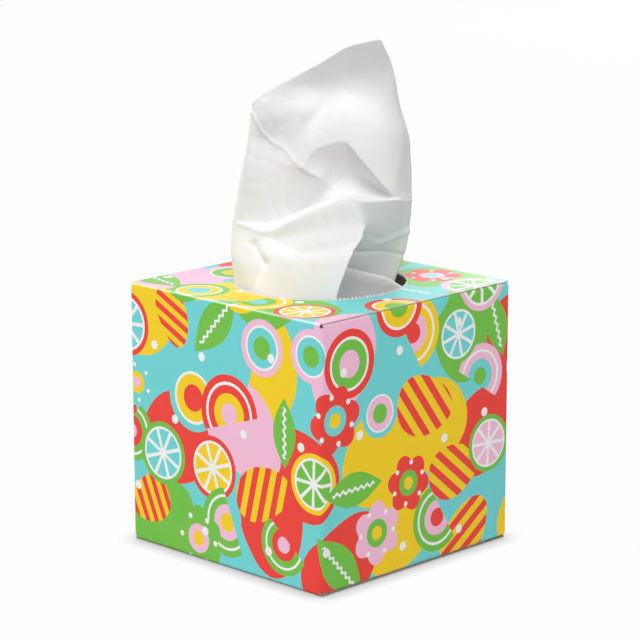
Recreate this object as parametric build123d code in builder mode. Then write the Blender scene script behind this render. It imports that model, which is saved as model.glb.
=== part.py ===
"""Cube tissue box: a folded carton, the folded clip of tissues inside it, and two sheets in its opening.

The origin is at the middle of the base and +Z is up. The pulled sheet's pleat faces the corner between the
front (-Y) and right (+X) panels. All sizes are in millimetres.
"""

import os
from math import cos, radians, sin

from build123d import *

# Carton
width = 110.0
depth = 110.0
height = 110.0
board = 0.45
crease_radius = 0.5
glue_line = 0.1
opening_radius = 36.0
tab_length = 13.0
seam_setback = 0.4
edge_setback = 0.3
corner_slit = 0.15
corner_relief = 0.2
bend_land = 0.6
flap_to_opening = 2.0
inner_flap_gap = 12.0
dust_flap_gap = 18.0
dust_flap_taper = 4.0

# Clip of tissues
stack_clearance = 2.0
stack_shoulder = 12.0
stack_headroom = 11.5
leg_gap = 2.5

# Sheets in the opening
tissue_sheet = 0.4
seat_gap = 0.3
rim_gap = 1.3
facing = 44.6
pulled_rise = 100.0
crest_angle = 74.0
crest_clearance = 10.5
crest_length = 26.0
crest_high = 9.0
crest_low = 1.5
crest_front = 10.0
crest_back = 2.2

# Back layer of the pulled sheet, in hundredths of the gathered radius
back_bulge = 49
back_taper = 12
back_fold = 4
edge_gap = 7
edge_lap = 4
back_droop = 0.08
back_places = 5
back_waves = 1.3
wave_shift = 28
left_swell = 0.12
swell_power = 0.7

# Worked out from the sizes above
fold_radius = crease_radius + board
bend_radius = crease_radius + board / 2
layer = board + glue_line
girth_base = 2 * layer + fold_radius + corner_relief
girth_top = height - layer - fold_radius - corner_relief
inside_top = height - layer
floor_top = 2 * layer + board
stack_top = height - board - stack_headroom
sheet_seat = stack_top + seat_gap
gather = opening_radius - rim_gap


def bearing(angle):
    """The level direction at an angle from +X, in degrees."""
    return Vector(cos(radians(angle)), sin(radians(angle)), 0)


def folded_flap(turn, reach, fold_length, plate_length, length, face, mitre=0.0):
    """One flap: a stub of its panel, the rounded bend and the flat plate.

    turn is the panel's direction, reach its outer face's distance from the middle, and face the height of
    the plate's outer side. mitre is how much each end of the free edge is drawn in.
    """
    at_top = face > height / 2
    inward = -board if at_top else board
    hinge = reach - fold_radius
    free = reach - length
    with BuildPart() as flap:
        with BuildSketch(Plane(origin=(0, 0, 0), x_dir=bearing(turn), z_dir=bearing(turn - 90))):
            with BuildLine():
                FilletPolyline(
                    (reach - board / 2, girth_top if at_top else girth_base),
                    (reach - board / 2, face + inward / 2),
                    (hinge - bend_land, face + inward / 2),
                    radius=bend_radius,
                )
            trace(line_width=board)
        extrude(amount=fold_length / 2, both=True)
        with BuildSketch(Plane(origin=(0, 0, face), x_dir=bearing(turn), z_dir=(0, 0, 1))):
            with BuildLine():
                Polyline(
                    (hinge, plate_length / 2),
                    (free, plate_length / 2 - mitre),
                    (free, mitre - plate_length / 2),
                    (hinge, -plate_length / 2),
                    close=True,
                )
            make_face()
        extrude(amount=inward)
    return flap.part


# Flaps, each glued flat to the one outside it: top cover and its three lips, then the four at the base
fold_x = width - 2 * (fold_radius + corner_slit)
fold_y = depth - 2 * (fold_radius + corner_slit)
cover_x = width - 2 * edge_setback
cover_y = depth - edge_setback
side_lip = width / 2 - opening_radius - flap_to_opening
back_lip = depth / 2 - opening_radius - flap_to_opening
dust_flap = (width - dust_flap_gap) / 2
front, right, back, left = 270, 0, 90, 180

flaps = [
    folded_flap(front, depth / 2, fold_x, cover_x, cover_y, height),
    folded_flap(right, width / 2, fold_y, fold_y, side_lip, inside_top, mitre=side_lip - fold_radius),
    folded_flap(left, width / 2, fold_y, fold_y, side_lip, inside_top, mitre=side_lip - fold_radius),
    folded_flap(back, depth / 2, fold_x, fold_x, back_lip, inside_top, mitre=back_lip - fold_radius),
    folded_flap(back, depth / 2, fold_x, cover_x, cover_y, 0),
    folded_flap(front, depth / 2, fold_x, fold_x, depth - inner_flap_gap, layer),
    folded_flap(right, width / 2, fold_y, fold_y, dust_flap, 2 * layer, mitre=dust_flap_taper),
    folded_flap(left, width / 2, fold_y, fold_y, dust_flap, 2 * layer, mitre=dust_flap_taper),
]

# Carton: one strip of board round four panels, its tab lapped inside the left panel, and the flaps
with BuildPart() as carton:
    panel_x = (width - board) / 2
    panel_y = (depth - board) / 2
    tab_x = panel_x - layer
    tab_root = (tab_length - tab_x, panel_y)
    with BuildSketch(Plane.XY.offset(girth_base)):
        with BuildLine():
            FilletPolyline(
                (-panel_x, depth / 2 - seam_setback),
                (-panel_x, -panel_y),
                (panel_x, -panel_y),
                (panel_x, panel_y),
                tab_root,
                radius=bend_radius,
            )
        trace(line_width=board)
        with BuildLine():
            FilletPolyline(tab_root, (-tab_x, panel_y), (-tab_x, depth / 2 - tab_length), radius=bend_radius)
        trace(line_width=board)
    extrude(amount=girth_top - girth_base)
    add(flaps)
    with BuildSketch(Plane.XY.offset(height)):
        Circle(opening_radius)
    extrude(amount=-board, mode=Mode.SUBTRACT)
carton.part.label = "carton"

# Clip of tissues: bent over once, so that two legs hang from a rounded crown
with BuildPart() as tissue_stack:
    stack_width = width - 2 * (board + layer + stack_clearance)
    stack_length = depth - 2 * (board + stack_clearance)
    leg = (stack_width - leg_gap) / 2
    slit_top = stack_top - leg
    with BuildSketch(Plane.XZ):
        with Locations((0, floor_top)):
            Rectangle(stack_width, stack_top - floor_top, align=(Align.CENTER, Align.MIN))
        fillet(vertices().group_by(Axis.Y)[-1], stack_shoulder)
        with BuildLine():
            Polyline((-leg_gap / 2, slit_top), (-leg_gap / 2, floor_top), (leg_gap / 2, floor_top),
                     (leg_gap / 2, slit_top))
            ThreePointArc((leg_gap / 2, slit_top), (0, slit_top + leg_gap / 2), (-leg_gap / 2, slit_top))
        make_face(mode=Mode.SUBTRACT)
    extrude(amount=stack_length / 2, both=True)
tissue_stack.part.label = "tissue_stack"


def pulled_place(across, toward, up):
    """A place on the pulled sheet for someone who faces the corner between the front and right panels.

    All three are hundredths: across and toward of the gathered radius, and up of the sheet's rise.
    """
    level = Vector(0, 0, max(height + pulled_rise * up / 100, sheet_seat))
    return level + Vector(across, -toward).rotate(Axis.Z, facing) * gather / 100


def back_layer(front_row, number):
    """The back layer's places beside a row of the front, from the left fold to the right-hand edge."""
    left, right = Vector(*front_row[0]), Vector(*front_row[-1])
    bulge = back_bulge - back_taper * left.Z / 100
    places = []
    for place in range(1, back_places + 1):
        share = place / back_places
        beside = left + (right - left) * share
        swell = sin(radians(180 * min(share + left_swell, 1))) ** swell_power
        fold = back_fold * sin(radians(back_waves * 360 * share + wave_shift * number))
        toward = min(left.Y, right.Y) * (1 - swell) + (fold - bulge) * swell - edge_gap * share
        places.append((beside.X - edge_lap * share, toward, beside.Z + back_droop * (toward - beside.Y)))
    return places


def soft_sheet(rows):
    """A sheet in flat facets, its outer side given as rows of places from its lower edge up."""
    last_row, last_place = len(rows) - 1, len(rows[0]) - 1
    inner = []
    for number, row in enumerate(rows):
        below, above = rows[max(number - 1, 0)], rows[min(number + 1, last_row)]
        runs = [after - before for before, after in zip([row[0], *row], [*row[1:], row[-1]])]
        rises = [high - low for low, high in zip(below, above)]
        inward = [run.cross(rise).normalized() for run, rise in zip(runs, rises)]
        inner.append([place + across * tissue_sheet for place, across in zip(row, inward)])
    corners = []
    for (low, high), (low_in, high_in) in zip(zip(rows, rows[1:]), zip(inner, inner[1:])):
        for place in range(last_place):
            after = place + 1
            corners += [(low[place], high[after], low[after]), (low[place], high[place], high[after])]
            corners += [(low_in[place], low_in[after], high_in[after])]
            corners += [(low_in[place], high_in[after], high_in[place])]
    border = [(0, place) for place in range(last_place)]
    border += [(row, last_place) for row in range(last_row)]
    border += [(last_row, place) for place in range(last_place, 0, -1)]
    border += [(row, 0) for row in range(last_row, 0, -1)]
    for (row, place), (next_row, after) in zip(border, [*border[1:], border[0]]):
        corners += [(rows[row][place], rows[next_row][after], inner[next_row][after])]
        corners += [(rows[row][place], inner[next_row][after], inner[row][place])]
    return Solid(Shell([Face(Wire.make_polygon(facet)) for facet in corners]))


def other_side(outline):
    """The other side of a sheet whose one side is outline, a sheet's thickness to its left."""
    ends = [outline[0], *outline, outline[-1]]
    runs = [after - before for before, after in zip(ends, ends[2:])]
    return [
        point + run.normalized().rotate(Axis.Z, 90) * tissue_sheet for point, run in zip(outline, runs)
    ]


def creased(points):
    """A line through points with one more on the curve between each pair, as soft paper creases."""
    ends = [points[0], *points, points[-1]]
    facets = []
    for before, start, finish, after in zip(ends, ends[1:], ends[2:], ends[3:]):
        facets += [start, (start + finish) * 9 / 16 - (before + after) / 16]
    return [*facets, points[-1]]


# Front of the pulled sheet, each row from its left fold to its right-hand edge, with the pleat sixth
front_rows = [
    # spread on the stack
    [(-112, 6, -12), (-102, 45, -12), (-75, 81, -12), (-38, 102, -12), (-9, 108, -12), (24, 107, -12),
     (-12, 43, -12), (37, 6, -12), (90, -14, -12)],
    # in the opening
    [(-99, 6, 0), (-90, 42, 0), (-69, 72, 0), (-37, 92, 0), (-9, 97, 0), (19, 95, 0),
     (-6, 43, 0), (40, 9, 0), (89, -9, 0)],
    # the pleat and the recess beside it
    [(-104, 9, 13), (-92, 40, 11), (-71, 59, 12.5), (-46, 82, 14), (-6, 89, 15), (35, 86, 15),
     (12, 40, 11), (61, 12, 11), (99, -9, 10)],
    # the pleat's top corner
    [(-102, 12, 22.7), (-85, 37, 22), (-68, 53, 21), (-42, 71, 22.8), (3, 78, 26.3), (52, 69, 27.5),
     (58, 37, 22), (79, 14, 18.5), (105, -6, 20)],
    # the ridge over the pleat
    [(-101, 14, 26), (-81, 40, 25.6), (-59, 58, 25.4), (-35, 71, 30.7), (0, 75, 36.2), (29, 73, 39.2),
     (56, 63, 37.4), (85, 43, 35.6), (107, 3, 31.5)],
    # the valley behind the ridge
    [(-100, 17, 28.4), (-79, 35, 27.7), (-56, 43, 27.4), (-26, 39, 31.7), (0, 37, 35.5), (24, 40, 39),
     (56, 37, 38.6), (86, 34, 36.2), (107, 3, 35)],
    # the hollow under the overhang
    [(-95, 24, 39.5), (-75, 37, 39.8), (-50, 46, 40.3), (-3, 52, 45.7), (13, 37, 46.5), (33, 33, 47.5),
     (58, 33, 45), (87, 32, 38.8), (107, 0, 39.5)],
    # the overhang's lower edge
    [(-89, 30, 50.3), (-73, 42, 51.2), (-50, 52, 51.8), (-20, 58, 51), (0, 62, 60), (30, 63, 62.8),
     (59, 58, 52.5), (89, 37, 42.5), (107, 0, 47.8)],
    # the overhang's crown
    [(-84, 35, 60.8), (-72, 43, 61.6), (-58, 50, 62.5), (-43, 56, 58.9), (-16, 55, 64.7), (29, 53, 72.7),
     (68, 48, 66), (92, 27, 60.2), (103, 0, 60.5)],
    # the dip under the top edge
    [(-80, 35, 70.3), (-73, 39, 70.4), (-65, 42, 70.7), (-52, 45, 69.2), (-12, 33, 72.5), (29, 32, 81.5),
     (65, 30, 79.5), (86, 19, 74.3), (93, 4, 72.9)],
    # where the top edge starts to lean out
    [(-78, 35, 73), (-72, 36, 74.5), (-61, 37, 75.6), (-45, 37, 76.6), (-7, 39, 83.4), (30, 43, 91.3),
     (56, 43, 92), (75, 36, 91), (84, 26, 90.2)],
    # the top edge
    [(-78, 37, 75.8), (-69, 40, 80.1), (-53, 45, 83.8), (-35, 48, 87.5), (0, 52, 94.2), (30, 58, 101),
     (52, 59, 103.5), (64, 59, 104.5), (70, 55, 103.7)],
]

# Pulled tissue: one sheet gathered through the opening, folded at its left, pleated and dented at the front
with BuildPart() as pulled_tissue:
    pulled_rows = [
        [pulled_place(*share) for share in (*front_row[::-1], *back_layer(front_row, number))]
        for number, front_row in enumerate(front_rows)
    ]
    pulled_columns = [creased(column) for column in zip(*map(creased, pulled_rows))]
    add(soft_sheet(list(zip(*pulled_columns))))
pulled_tissue.part.label = "pulled_tissue"

# Next tissue: the crest of the following sheet, standing on the stack in front of the pleat's tuck
with BuildPart() as next_tissue:
    crest_top = height + crest_high
    half_way = (sheet_seat + crest_top) / 2
    arch = creased([
        Vector(-crest_back, sheet_seat),
        Vector(-0.7 * crest_back, half_way),
        Vector(0, crest_top),
        Vector(0.45 * crest_front, half_way),
        Vector(crest_front, sheet_seat),
    ])
    under = other_side(arch[::-1])
    crest_run = bearing(crest_angle) * crest_length
    tuck = pulled_rows[1][1]
    crest_middle = Vector(tuck.X, tuck.Y) + bearing(crest_angle - 90) * crest_clearance
    crest_start = crest_middle - crest_run / 2
    crest_line = crest_run - Vector(0, 0, crest_high - crest_low)
    crest_section = Plane(crest_start, x_dir=bearing(crest_angle - 90), z_dir=bearing(crest_angle + 180))
    with BuildSketch(crest_section):
        with BuildLine():
            Polyline(*arch, *under, close=True)
        make_face()
    extrude(amount=crest_line.length, dir=crest_line)
    split(bisect_by=Plane.XY.offset(sheet_seat), keep=Keep.TOP)
next_tissue.part.label = "next_tissue"

os.makedirs("parts", exist_ok=True)
for piece in (carton, tissue_stack, pulled_tissue, next_tissue):
    export_step(piece.part, f"parts/{piece.part.label}.step")
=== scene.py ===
"""Looks of a cube tissue box: printed carton, perforated rim, pulled and waiting sheets, and the clip inside.

Sizes are in millimetres in the classes and become metres where a mesh is made. The sheets are placed on three
axes that follow the corner between the front and right panels: across (to that corner's right), toward (out
over the corner) and up.
"""

import logging
import math
import random
from collections.abc import Callable, Sequence
from dataclasses import dataclass, field
from enum import Enum, auto

import bpy
import numpy as np
from mathutils import Matrix, Vector, noise
from mathutils.geometry import delaunay_2d_cdt


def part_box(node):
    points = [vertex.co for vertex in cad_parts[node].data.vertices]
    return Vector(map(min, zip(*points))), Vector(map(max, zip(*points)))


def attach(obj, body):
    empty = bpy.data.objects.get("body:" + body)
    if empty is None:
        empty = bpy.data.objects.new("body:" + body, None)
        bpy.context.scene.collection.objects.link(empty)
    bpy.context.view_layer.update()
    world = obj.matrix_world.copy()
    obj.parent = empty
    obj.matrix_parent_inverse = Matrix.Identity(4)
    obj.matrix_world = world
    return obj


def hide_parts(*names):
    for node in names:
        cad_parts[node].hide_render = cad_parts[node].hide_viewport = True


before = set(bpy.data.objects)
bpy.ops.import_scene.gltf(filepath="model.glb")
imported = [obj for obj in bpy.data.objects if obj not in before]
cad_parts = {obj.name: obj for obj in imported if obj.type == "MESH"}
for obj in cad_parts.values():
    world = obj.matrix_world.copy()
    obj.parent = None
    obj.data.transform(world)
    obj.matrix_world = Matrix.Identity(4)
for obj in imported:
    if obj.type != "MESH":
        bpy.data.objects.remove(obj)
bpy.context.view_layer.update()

log = logging.getLogger("tissue_box")

MM = 0.001  # metres in a millimetre
FACING = 44.6  # degrees from +X round to the across axis
SIGHT_FALL = 0.232  # how much lower a place is seen for each millimetre that it is nearer
NEAR = 1e-3  # slack at the blank's fold lines, because its places are rounded
MERGED = 1e-5  # places on the blank that are nearer than this become one
KEY_DIGITS = 3  # digits that tell the blank's places apart
TINY = 1e-9  # keeps a length off zero
SHARP = math.radians(30)  # edges that turn more than this stay sharp
FIBRE_DETAIL = 3.0
MOTTLE_SCALE = 60.0
# attribute of the painted highlight along the cover flaps' folds, which partly stands for ink rubbed thin
# there
FOLD_HIGHLIGHT_AND_WEAR = "rubbed"
BAKE_MAP = "OFBake"

FLOAT = "NodeSocketFloat"
WHOLE = "NodeSocketInt"
COLOUR = "NodeSocketColor"
GEOMETRY = "NodeSocketGeometry"

Point = tuple[float, float]
Place = tuple[float, float, float]
Outline = list[Point]
Link = tuple[bpy.types.Node, str | int, bpy.types.Node, str | int]


class Ink(Enum):
    """Inks of the carton's print, as linear colours."""

    RED = (0.87, 0.05, 0.036)
    PINK = (0.93, 0.53, 0.71)
    TURQUOISE = (0.165, 0.68, 0.68)
    GREEN = (0.17, 0.54, 0.058)
    YELLOW = (0.95, 0.65, 0.007)
    WHITE = (0.92, 0.92, 0.91)


class Face(Enum):
    """Printed faces of the carton, in the order of the panels round it."""

    LEFT = auto()
    FRONT = auto()
    RIGHT = auto()
    BACK = auto()
    TOP = auto()
    BOTTOM = auto()


class Motif(Enum):
    """Kinds of figure in the print."""

    FLOWER = auto()
    LEAF = auto()
    SLICE = auto()
    RINGS = auto()
    STRIPES = auto()
    FAN = auto()


PANELS = (Face.LEFT, Face.FRONT, Face.RIGHT, Face.BACK)
OUTWARD = {Face.LEFT: 180, Face.FRONT: 270, Face.RIGHT: 0, Face.BACK: 90}  # degrees that each panel faces

Figure = list[tuple[Ink, Outline]]


def new_group(name: str, kind: str, inputs: dict[str, str], outputs: dict[str, str]) -> bpy.types.NodeTree:
    """Makes an empty node group with its sockets.

    Args:
        name: The group's name.
        kind: The kind of node tree.
        inputs: The type of each input.
        outputs: The type of each output.

    Returns:
        The group.
    """
    tree = bpy.data.node_groups.new(name, kind)
    for in_out, sockets in (("INPUT", inputs), ("OUTPUT", outputs)):
        for label, socket_type in sockets.items():
            tree.interface.new_socket(label, in_out=in_out, socket_type=socket_type)
    return tree


def join(tree: bpy.types.NodeTree, *links: Link) -> None:
    """Links nodes in order, each link from a node's output to another's input."""
    for source, output, target, given in links:
        tree.links.new(source.outputs[output], target.inputs[given])


def fibre_group() -> bpy.types.NodeTree:
    """Gets the shader group that all the paper finishes share, and builds it once.

    Returns:
        The group, with inputs Scale and Stretch, and outputs Fibre and Mottle, both from 0 to 1.
    """
    name = "Paper Fibre"
    if name in bpy.data.node_groups:
        return bpy.data.node_groups[name]
    inputs, outputs = dict.fromkeys(("Scale", "Stretch"), FLOAT), dict.fromkeys(("Fibre", "Mottle"), FLOAT)
    tree = new_group(name, "ShaderNodeTree", inputs, outputs)
    nodes = tree.nodes
    given, result = nodes.new("NodeGroupInput"), nodes.new("NodeGroupOutput")
    place = nodes.new("ShaderNodeTexCoord")
    squeeze = nodes.new("ShaderNodeCombineXYZ")
    for axis in "XY":
        squeeze.inputs[axis].default_value = 1.0
    run = nodes.new("ShaderNodeVectorMath")
    run.operation = "DIVIDE"
    fine, broad = nodes.new("ShaderNodeTexNoise"), nodes.new("ShaderNodeTexNoise")
    fine.inputs["Detail"].default_value = FIBRE_DETAIL
    broad.inputs["Scale"].default_value = MOTTLE_SCALE
    join(
        tree,
        (given, "Stretch", squeeze, "Z"),
        (place, "Object", run, 0),
        (squeeze, "Vector", run, 1),
        (run, "Vector", fine, "Vector"),
        (given, "Scale", fine, "Scale"),
        (place, "Object", broad, "Vector"),
        (fine, "Fac", result, "Fibre"),
        (broad, "Fac", result, "Mottle"),
    )
    return tree


def fold_highlight_and_wear_group() -> bpy.types.NodeTree:
    """Gets the shared shader group that mixes ink towards white along a fold, a painted highlight that partly
    stands for ink rubbed thin there, and builds it once.

    Returns:
        The group, with inputs Ink and Amount and an output Colour.
    """
    name = "Rubbed Fold"
    if name in bpy.data.node_groups:
        return bpy.data.node_groups[name]
    tree = new_group(name, "ShaderNodeTree", {"Ink": COLOUR, "Amount": FLOAT}, {"Colour": COLOUR})
    nodes = tree.nodes
    given, result = nodes.new("NodeGroupInput"), nodes.new("NodeGroupOutput")
    rubbed = nodes.new("ShaderNodeAttribute")
    rubbed.attribute_name = FOLD_HIGHLIGHT_AND_WEAR
    highlight_strength = nodes.new("ShaderNodeMath")
    highlight_strength.operation = "MULTIPLY"
    # painted highlight: the ink is mixed towards white along the fold
    lightened = nodes.new("ShaderNodeMix")
    lightened.data_type = "RGBA"
    lightened.inputs["B"].default_value = (*Ink.WHITE.value, 1)
    join(
        tree,
        (rubbed, "Fac", highlight_strength, 0),
        (given, "Amount", highlight_strength, 1),
        (highlight_strength, "Value", lightened, "Factor"),
        (given, "Ink", lightened, "A"),
        (lightened, "Result", result, "Colour"),
    )
    return tree


@dataclass(frozen=True)
class PaperFinish:
    """A paper or board surface: its colour, shine and fibre."""

    name: str
    colour: tuple[float, float, float]
    roughness: tuple[float, float]
    fibre_scale: float
    fibre_stretch: float
    relief: float
    specular: float
    mottle: float = 0.0
    # how far the ink is mixed towards white along the cover flaps' folds: a painted highlight, partly rubbed
    # ink
    highlight_and_wear: float = 0.0

    def material(self) -> bpy.types.Material:
        """Builds the finish's material.

        Returns:
            The material, with fibre in its roughness and bump, and mottle or a painted fold highlight, partly
            rubbed ink, in its colour.
        """
        made = bpy.data.materials.new(self.name)
        made.use_nodes = True
        tree = made.node_tree
        nodes = tree.nodes
        paper = nodes["Principled BSDF"]
        paper.inputs["Base Color"].default_value = (*self.colour, 1)
        paper.inputs["Specular IOR Level"].default_value = self.specular
        grain = nodes.new("ShaderNodeGroup")
        grain.node_tree = fibre_group()
        grain.inputs["Scale"].default_value = self.fibre_scale
        grain.inputs["Stretch"].default_value = self.fibre_stretch
        shine = nodes.new("ShaderNodeMapRange")
        shine.inputs["To Min"].default_value, shine.inputs["To Max"].default_value = self.roughness
        bump = nodes.new("ShaderNodeBump")
        bump.inputs["Strength"].default_value = 1.0
        bump.inputs["Distance"].default_value = self.relief * MM
        join(
            tree,
            (grain, "Fibre", shine, "Value"),
            (shine, "Result", paper, "Roughness"),
            (grain, "Fibre", bump, "Height"),
            (bump, "Normal", paper, "Normal"),
        )
        if self.mottle:
            shade = nodes.new("ShaderNodeMix")
            shade.data_type = "RGBA"
            shade.inputs["A"].default_value = (*(c * (1 - self.mottle) for c in self.colour), 1)
            shade.inputs["B"].default_value = (*self.colour, 1)
            join(tree, (grain, "Mottle", shade, "Factor"), (shade, "Result", paper, "Base Color"))
        # painted highlight along the folds, partly rubbed ink: the ink is mixed towards white there
        if self.highlight_and_wear:
            highlighted_and_worn = nodes.new("ShaderNodeGroup")
            highlighted_and_worn.node_tree = fold_highlight_and_wear_group()
            highlighted_and_worn.inputs["Ink"].default_value = (*self.colour, 1)
            highlighted_and_worn.inputs["Amount"].default_value = self.highlight_and_wear
            join(tree, (highlighted_and_worn, "Colour", paper, "Base Color"))
        return made


def ink_finish(ink: Ink) -> PaperFinish:
    """The satin printed finish of one ink, lightened along the cover flaps' folds as a painted highlight that
    partly stands for ink rubbed off there.
    """
    return PaperFinish(
        f"ink_{ink.name.lower()}", ink.value, roughness=(0.3, 0.42), fibre_scale=700, fibre_stretch=1,
        relief=0.006, specular=0.25, highlight_and_wear=0.5,
    )


RAW_BOARD = PaperFinish(
    "raw_board", (0.5, 0.42, 0.34), roughness=(0.8, 0.95), fibre_scale=420, fibre_stretch=2.5,
    relief=0.03, specular=0.2, mottle=0.18,
)
CUT_EDGE = PaperFinish(
    "cut_edge", (0.55, 0.52, 0.48), roughness=(0.8, 0.95), fibre_scale=900, fibre_stretch=1,
    relief=0.03, specular=0.2, mottle=0.12,
)
TORN_EDGE = PaperFinish(
    "torn_edge", (0.86, 0.83, 0.81), roughness=(0.8, 0.95), fibre_scale=900, fibre_stretch=1,
    relief=0.03, specular=0.2, mottle=0.08,
)
TISSUE = PaperFinish(
    "soft_tissue", (0.87, 0.87, 0.868), roughness=(0.9, 1.0), fibre_scale=1500, fibre_stretch=0.6,
    relief=0.03, specular=0.1, mottle=0.02,
)
LEAVES = PaperFinish(
    "folded_leaves", (0.84, 0.84, 0.835), roughness=(0.9, 1.0), fibre_scale=800, fibre_stretch=6,
    relief=0.05, specular=0.1, mottle=0.05,
)


def piece_from(
    name: str, places: Sequence[Sequence[float]], faces: Sequence[Sequence[int]]
) -> bpy.types.Object:
    """Makes an object of the part from places in millimetres.

    Args:
        name: The piece's name.
        places: Its vertices, in millimetres.
        faces: Its faces, as vertex numbers.

    Returns:
        The object, in the scene and riding on the part.
    """
    mesh = bpy.data.meshes.new(name)
    mesh.from_pydata([Vector(p) * MM for p in places], [], faces)
    piece = bpy.data.objects.new(name, mesh)
    bpy.context.scene.collection.objects.link(piece)
    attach(piece, "root")
    return piece


def circle(radius: float, count: int, middle: Point = (0, 0)) -> Outline:
    """Points round a circle."""
    turns = [2 * math.pi * step / count for step in range(count)]
    return [(middle[0] + radius * math.cos(t), middle[1] + radius * math.sin(t)) for t in turns]


def petals(radius: float, count: int, depth: float, steps: int = 12) -> Outline:
    """Outline of a flower with round petals, with so many steps to a petal."""
    turns = [2 * math.pi * step / (steps * count) for step in range(steps * count)]
    reach = [radius * (1 - depth * (1 - abs(math.sin(count * t / 2)))) for t in turns]
    return [(r * math.cos(t), r * math.sin(t)) for r, t in zip(reach, turns)]


def pebble(length: float, breadth: float, phase: float, steps: int = 44, squash: float = 0.06,
           bulge: float = 0.05) -> Outline:
    """Outline of a rounded, slightly uneven field."""
    turns = [2 * math.pi * step / steps for step in range(steps)]
    reach = [1 + squash * math.cos(2 * t + phase) + bulge * math.cos(3 * t - phase) for t in turns]
    return [(length / 2 * r * math.cos(t), breadth / 2 * r * math.sin(t)) for r, t in zip(reach, turns)]


def leaf_blade(length: float, breadth: float, steps: int = 14) -> Outline:
    """Outline of a leaf, pointed at both ends."""
    shares = [step / steps for step in range(steps + 1)]
    upper = [(length * (s - 0.5), breadth / 2 * math.sin(math.pi * s)) for s in shares]
    return [(x, -y) for x, y in upper[:-1]] + upper[:0:-1]


def wavy_line(length: float, thickness: float, swing: float, wave: float, wave_steps: int = 8) -> Outline:
    """Outline of a wavy stroke along the first axis, with so many steps to a wave."""
    steps = max(wave_steps, round(wave_steps * length / wave))
    xs = [length * (step / steps - 0.5) for step in range(steps + 1)]
    middle = [(x, swing * math.sin(2 * math.pi * x / wave)) for x in xs]
    return [(x, y - thickness / 2) for x, y in middle] + [(x, y + thickness / 2) for x, y in reversed(middle)]


def wedge(inner: float, outer: float, start: float, end: float, steps: int = 5) -> Outline:
    """Outline of one segment of a slice."""
    turns = [start + (end - start) * step / steps for step in range(steps + 1)]
    middle = (start + end) / 2
    tip = (inner * math.cos(middle), inner * math.sin(middle))
    return [tip, *[(outer * math.cos(t), outer * math.sin(t)) for t in turns]]


def clipped(outline: Outline, across: Point, limit: float) -> Outline:
    """The part of a convex outline on the near side of a line.

    Args:
        outline: The outline's points.
        across: The line's unit normal.
        limit: The line's distance from the origin along its normal.

    Returns:
        The points that are left, with those on the line added.
    """
    kept: Outline = []
    for first, second in zip(outline, outline[1:] + outline[:1]):
        here = first[0] * across[0] + first[1] * across[1] - limit
        there = second[0] * across[0] + second[1] * across[1] - limit
        if here <= 0:
            kept.append(first)
        if here * there < 0:
            share = here / (here - there)
            kept.append(tuple(a + share * (b - a) for a, b in zip(first, second)))
    return kept


@dataclass
class PrintPatch:
    """One field of ink on one face of the carton, on that face's own axes."""

    face: Face
    ink: Ink
    outline: Outline


@dataclass(frozen=True)
class Disc:
    """A round field of a figure: its radius as a share of the figure's, and its number of points."""

    share: float
    steps: int

    def outline(self, radius: float, middle: Point = (0, 0)) -> Outline:
        """The field's outline in a figure of a radius."""
        return circle(self.share * radius, self.steps, middle)


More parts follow.
